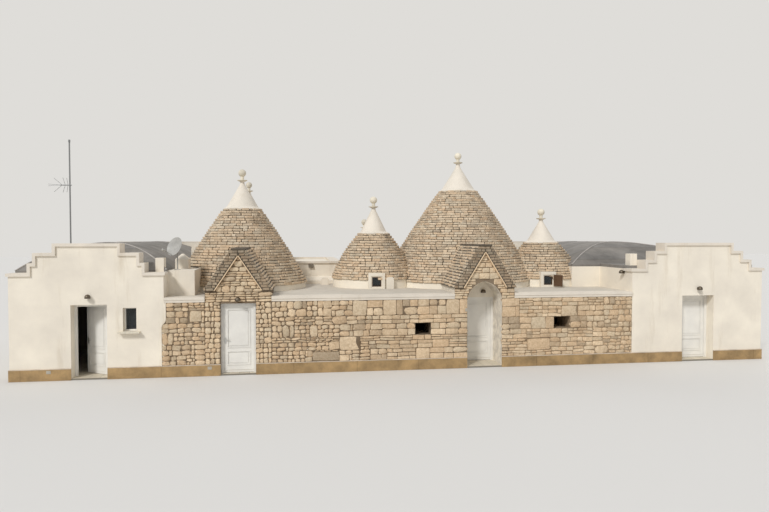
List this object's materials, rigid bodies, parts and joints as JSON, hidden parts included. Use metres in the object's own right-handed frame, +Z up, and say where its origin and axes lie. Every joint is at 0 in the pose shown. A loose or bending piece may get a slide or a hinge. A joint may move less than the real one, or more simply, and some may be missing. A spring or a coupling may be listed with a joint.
{
  "type": "trullo house",
  "caption": "Long low house with dry-stone cones on plastered drums behind a rubble front with gabled porches, between two stepped-parapet wings, with hinged doors.",
  "frame": {"origin": "on the ground, at the middle of the front's length and of the depth of the walls", "axes": "+X along the front to the right, +Y from the front to the back, +Z up"},
  "size_m": [23.8654, 11.0218, 7.424],
  "materials": {
    "lime_plaster": "lime-washed plaster, matte",
    "rubble_limestone": "rough squared limestone rubble in lime mortar",
    "corbelled_stone": "dry-laid weathered limestone slabs",
    "coping_stone": "smooth pale limestone",
    "terrace_stone": "worn limestone paving",
    "roof_membrane": "grey-brown mineral roof covering on masonry vaults",
    "floor_tile": "pale floor tiles",
    "plinth_stone": "ochre stone skirting",
    "door_paint": "white painted timber, satin",
    "handle_metal": "satin",
    "window_glass": "clear",
    "lamp_metal": "satin",
    "dish_paint": "weathered grey paint",
    "shutter_wood": "brown painted boards, worn",
    "mast_steel": "dull galvanised"
  },
  "bodies": {
    "house": {"left_wing_left_pier": "lime_plaster", "left_wing_right_pier": "lime_plaster", "left_wing_parapet": "lime_plaster", "left_wing_side_wall": "lime_plaster", "left_inner_wall": "lime_plaster", "chimneys": "lime_plaster", "right_wing_left_pier": "lime_plaster", "right_wing_right_pier": "lime_plaster", "right_wing_parapet": "lime_plaster", "right_wing_side_wall": "lime_plaster", "left_party_wall": "lime_plaster", "right_inner_wall": "lime_plaster", "raised_room": "lime_plaster", "back_wall": "lime_plaster", "left_drums": "lime_plaster", "right_drums": "lime_plaster", "white_caps": "lime_plaster", "niche_tympanum": "lime_plaster", "roof_windows": "lime_plaster", "front_wall_left": "rubble_limestone", "front_wall_middle": "rubble_limestone", "front_wall_right": "rubble_limestone", "arch_jambs": "rubble_limestone", "left_porch_gable": "rubble_limestone", "arch_gable": "rubble_limestone", "left_cone": "corbelled_stone", "left_rear_cone": "corbelled_stone", "small_cone": "corbelled_stone", "small_rear_cone": "corbelled_stone", "great_cone": "corbelled_stone", "right_cone": "corbelled_stone", "porch_roofs": "corbelled_stone", "parapet_copings": "coping_stone", "terrace_coping": "coping_stone", "upper_copings": "coping_stone", "finials": "coping_stone", "window_sill": "coping_stone", "terrace_left": "terrace_stone", "terrace_middle": "terrace_stone", "terrace_right": "terrace_stone", "left_wing_roof": "roof_membrane", "right_wing_roof": "roof_membrane", "floors": "floor_tile", "plinth": "plinth_stone", "door_frames": "door_paint", "window_frame": "door_paint", "window_glass": "window_glass", "wall_lamps": "lamp_metal", "satellite_dish": "dish_paint", "aerial_mast": "mast_steel", "roof_shutter": "shutter_wood"},
    "left_wing_door_leaf": {"left_wing_door": "door_paint", "left_wing_door_handle": "handle_metal"},
    "trullo_door_leaf": {"trullo_door": "door_paint", "trullo_door_handle": "handle_metal"},
    "arch_door_leaf": {"arch_door": "door_paint", "arch_door_handle": "handle_metal"},
    "right_wing_door_leaf": {"right_wing_door": "door_paint", "right_wing_door_handle": "handle_metal"}
  },
  "joints": [
    {"name": "left_wing_door_hinge", "type": "hinge", "parent": "house", "child": "left_wing_door_leaf", "pos_m": [-9.139, -4.992, 1], "axis": [0, 0, -1], "range_deg": [-33, 57]},
    {"name": "trullo_door_hinge", "type": "hinge", "parent": "house", "child": "trullo_door_leaf", "pos_m": [-4.969, -5.182, 1], "axis": [0, 0, -1], "range_deg": [0, 85]},
    {"name": "arch_door_hinge", "type": "hinge", "parent": "house", "child": "arch_door_leaf", "pos_m": [2.596, -4.412, 1], "axis": [0, 0, -1], "range_deg": [0, 90]},
    {"name": "right_wing_door_hinge", "type": "hinge", "parent": "house", "child": "right_wing_door_leaf", "pos_m": [9.871, -4.947, 1], "axis": [0, 0, -1], "range_deg": [0, 90]}
  ]
}
